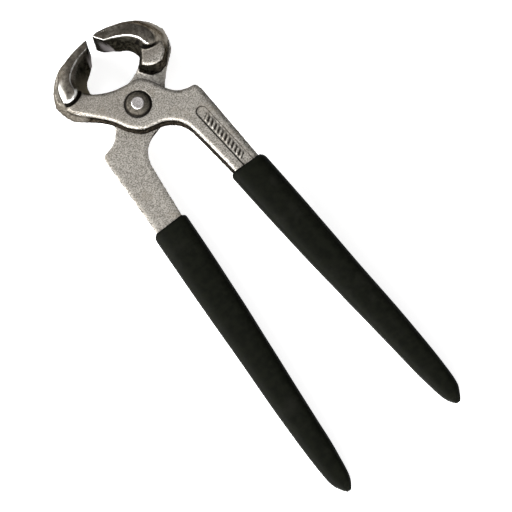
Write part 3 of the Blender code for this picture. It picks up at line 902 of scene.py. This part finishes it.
def rivet_steel():
    steel = Nodes("rivet_steel", 3)
    disc = steel.zone("disc")
    marks = steel.noise(0.8, 3, 0.6)
    colour = steel.mix(steel.range(marks, 0.38, 0.64), *RIVET_DOME)
    colour = steel.mix(disc, colour, steel.mottled(RIVET_DISC, 0.5, 2, 0.5, 0.35, 0.65))
    # Painted shade round the foot of the head.
    colour = steel.mix(steel.zone("foot"), colour, RIVET_FOOT_SHADE)
    colour = steel.mix(steel.range(steel.zone("bend"), 0.015, 0.05, 0.0, 0.4), colour, RIVET_WORN)
    rough = steel.blend(disc, 0.78, 0.36)
    normal = steel.bump(marks, 0.03, 0.8)
    return steel.finish(colour=colour, rough=rough, metal=1.0, normal=normal, grazing=RIVET_GRAZING)


def black_vinyl():
    vinyl = Nodes("black_vinyl", 5)
    mottle = vinyl.noise(2.4, 3, 0.6)
    colour = vinyl.mix(vinyl.range(mottle, 0.35, 0.65), *VINYL)
    colour = vinyl.mix(vinyl.patches(14, 4, 0.7, 0.5, 0.75, 0.0, 0.5), colour, VINYL_DUST)
    scuffs = vinyl.times(vinyl.zone("worn"), vinyl.patches(0.9, 3, 0.7, 0.5, 0.65, 0.0, 0.6))
    colour = vinyl.mix(scuffs, colour, VINYL_SCUFFS)
    # Painted shade in the gap at the sleeve's mouth.
    colour = vinyl.mix(vinyl.zone("mouth_shade"), colour, VINYL_GAP_SHADE)
    rough = vinyl.range(mottle, 0.3, 0.7, 0.62, 0.76)
    normal = vinyl.bump(vinyl.noise(0.45, 2, 0.5), 0.02, 0.5)
    normal = vinyl.bump(vinyl.noise(3.5, 2, 0.5), 0.06, 0.5, normal)
    return vinyl.finish(colour=colour, rough=rough, metal=0.0, normal=normal, specular=VINYL_SPECULAR)


# ---------------------------------------------------------------- rivet and sleeves

def loft(name, rings):
    """A closed mesh through rings of points in millimetres, both ends filled."""
    geometry = bmesh.new()
    rows = [[geometry.verts.new(p) for p in ring] for ring in rings]
    for lower, upper in zip(rows, rows[1:]):
        for i in range(len(lower)):
            after = (i + 1) % len(lower)
            geometry.faces.new((lower[i], lower[after], upper[after], upper[i]))
    geometry.faces.new(rows[0])
    geometry.faces.new(rows[-1])
    bmesh.ops.recalc_face_normals(geometry, faces=geometry.faces)
    mesh = bpy.data.meshes.new(name)
    geometry.to_mesh(mesh)
    geometry.free()
    mesh.shade_smooth()
    return mesh


def rounded(profile, steps):
    """The profile with a smooth curve through its points."""
    knots = [np.array(p, float) for p in profile]
    knots = [2 * knots[0] - knots[1]] + knots + [2 * knots[-1] - knots[-2]]
    curve = []
    for a, b, c, d in zip(knots, knots[1:], knots[2:], knots[3:]):
        for t in np.arange(steps) / steps:
            curve.append(0.5 * (2 * b + (c - a) * t + (2 * a - 5 * b + 4 * c - d) * t ** 2
                                + (3 * b - a - 3 * c + d) * t ** 3))
    return curve + [knots[-2]]


def rivet():
    """The rivet, from the middle of its head down to the middle of its tail."""
    head = [(radius, PLATE_FACE + up) for radius, up in rounded(RIVET_HEAD, 3)][1:]
    tail = [(radius, -PLATE_FACE - up) for radius, up in rounded(RIVET_TAIL, 3)][1:]
    pin = [(PIN_RADIUS, PLATE_FACE - 0.3), (PIN_RADIUS, 0.0), (PIN_RADIUS, -PLATE_FACE)]
    around = np.linspace(0, math.tau, RIVET_AROUND, endpoint=False)
    rings = []
    for radius, height in head + pin + tail[::-1]:
        rings.append([Vector((radius * math.cos(a), radius * math.sin(a), height)) for a in around])
    mesh = loft("rivet", rings)
    points, normals = read(mesh), read_normals(mesh)
    radius, up = np.hypot(points[:, 0], points[:, 1]), points[:, 2]
    exposed = np.abs(up) > PLATE_FACE + 0.1
    # Dents of the riveting, deeper on the peened tail.
    dents = noise_at(points, DENT_SIZE, 4) * np.where(up > 0, HEAD_DENTS, TAIL_DENTS) - HEAD_DENTS
    write_points(mesh, points + normals * (dents * exposed)[:, None])
    store(mesh, "bend", bend_of(read(mesh), normals, edge_pairs(mesh), 2) * exposed)
    store(mesh, "disc", (1 - smoothstep(*DISC_EDGE, radius)) * (up > 0))
    store(mesh, "foot", smoothstep(*FOOT_EDGE, radius) * (np.abs(up) < PLATE_FACE + FOOT_TOP))
    mesh.transform(Matrix.Scale(MM, 4))
    return mesh


def quarter(distance, length):
    """How far a rounded edge has fallen away, from 0 to 1, at a distance into its length."""
    share = min(max(distance / length, 0.0), 1.0)
    return 1 - math.sqrt(max(0.0, 1 - share * share))


def sleeve_ring(curve, along, depth, squareness, rounding=False):
    """One ring of the sleeve's skin, or of its cavity at a depth within it."""
    inner, outer, half_thickness = [float(np.interp(-along, -curve[:, 0], curve[:, i])) for i in (1, 2, 3)]
    past_mouth = along - DRAWN_MOUTH
    inner_round = quarter(past_mouth + MOUTH_INNER, MOUTH_INNER) * MOUTH_ACROSS if rounding else 0
    outer_round = quarter(past_mouth + MOUTH_OUTER, MOUTH_OUTER) * MOUTH_ACROSS if rounding else 0
    inner, outer = inner + depth + inner_round, outer - depth - outer_round
    half_thickness -= depth + inner_round
    middle, half_width = (inner + outer) / 2, (outer - inner) / 2
    height = REIN_HEIGHT * (1 - float(smoothstep(JOGGLE_START, JOGGLE_END, along)))
    ring = []
    for i in range(SLEEVE_AROUND):
        angle = math.tau * (i + 0.5) / SLEEVE_AROUND
        across = math.copysign(abs(math.cos(angle)) ** (2 / squareness), math.cos(angle))
        up = math.copysign(abs(math.sin(angle)) ** (2 / squareness), math.sin(angle))
        ring.append(Vector((middle + across * half_width, along, height + up * half_thickness)))
    return ring


def sleeve(mouth, end, skew):
    """A dipped sleeve from its mouth to its end: a cup with a rounded lip, tapering to a blunt end."""
    curve = np.array(rounded(SLEEVE_STATIONS, 6))
    lip = [DRAWN_MOUTH - MOUTH_OUTER * (1 - share) for share in MOUTH_SHARES]
    long = [y for y in curve[::-1, 0] if y < DRAWN_MOUTH - MOUTH_OUTER - 0.3]
    outside = [sleeve_ring(curve, y, 0, SKIN_SQUARENESS) for y in long]
    outside += [sleeve_ring(curve, y, 0, SKIN_SQUARENESS, rounding=True) for y in lip]
    cavity = [sleeve_ring(curve, y, SLEEVE_WALL, CAVITY_SQUARENESS) for y in CAVITY_ALONG]
    mesh = loft("sleeve", outside + cavity)
    points, normals = read(mesh), read_normals(mesh)
    # The dip leaves slight waves along the sleeve.
    skin = np.zeros(len(points))
    skin[:len(outside) * SLEEVE_AROUND] = 1
    waves = noise_at(points * [1, DIP_STRETCH, 1], DIP_SIZE, 7) * DIP_DEPTH - DIP_SUNK
    write_points(mesh, points + normals * (waves * skin)[:, None])
    store(mesh, "worn", (1 - smoothstep(DRAWN_END + 0.4, DRAWN_END + 3.5, points[:, 1])) * skin)
    # Where shade is painted in the gap at the mouth.
    store(mesh, "mouth_shade", smoothstep(DRAWN_MOUTH - 0.9, DRAWN_MOUTH - 0.2, points[:, 1]))
    # Stretch it to its own mouth and end, with the mouth askew.
    points = read(mesh)
    points[:, 1] = mouth + (points[:, 1] - DRAWN_MOUTH) * (end - mouth) / (DRAWN_END - DRAWN_MOUTH)
    inner, outer = SLEEVE_STATIONS[0][1:3]
    near_mouth = smoothstep(DRAWN_MOUTH - 14, DRAWN_MOUTH - 1, points[:, 1])
    points[:, 1] -= skew * (points[:, 0] - inner) / (outer - inner) * near_mouth
    write_points(mesh, points)
    mesh.transform(Matrix.Scale(MM, 4))
    return mesh


# ---------------------------------------------------------------- build

def place(name, mesh, material, body, turned=False):
    mesh.materials.clear()
    mesh.materials.append(material)
    piece = bpy.data.objects.new(name, mesh)
    piece.matrix_world = AT_JOINT @ TURNED_OVER if turned else AT_JOINT
    bpy.context.scene.collection.objects.link(piece)
    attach(piece, body)
    return piece


def make_floor():
    bpy.ops.mesh.primitive_plane_add(size=FLOOR_SIZE)
    floor = bpy.context.object
    floor.name = "floor"
    floor.location = (0, FLOOR_ALONG, (JOINT_HEIGHT - CHEEK_FACE) * MM - FLOOR_GAP)
    floor.rotation_euler = (FLOOR_TILT, 0, 0)
    floor.data.materials.append(Nodes("floor_paper").finish(
        colour=(FLOOR_TONE, FLOOR_TONE, FLOOR_TONE, 1), rough=0.9, glow_colour=(1, 1, 1, 1), glow=FLOOR_GLOW))


make_camera()
front = place("front_forging", forging(), forged_steel("forged_steel_front", **FRONT_FINISH),
              "front_body")
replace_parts(front, "front_half")
rear = place("rear_forging", front.data.copy(), forged_steel("forged_steel_rear", **REAR_FINISH),
             "rear_body", turned=True)
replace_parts(rear, "rear_half")
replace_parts(place("domed_rivet", rivet(), rivet_steel(), "rear_body"), "pivot_rivet")
vinyl = black_vinyl()
front_grip = place("front_grip", sleeve(FRONT_SLEEVE_MOUTH, FRONT_SLEEVE_END, MOUTH_SKEW), vinyl,
                   "front_body")
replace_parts(front_grip, "front_sleeve")
rear_grip = place("rear_grip", sleeve(REAR_SLEEVE_MOUTH, REAR_SLEEVE_END, 0), vinyl,
                  "rear_body", turned=True)
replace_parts(rear_grip, "rear_sleeve")

make_floor()
make_world()
make_area("key", KEY_TOWARDS, KEY_SIZE, KEY_POWER)
make_area("side", SIDE_TOWARDS, SIDE_SIZE, SIDE_POWER)
bpy.context.scene.view_settings.view_transform = "Standard"
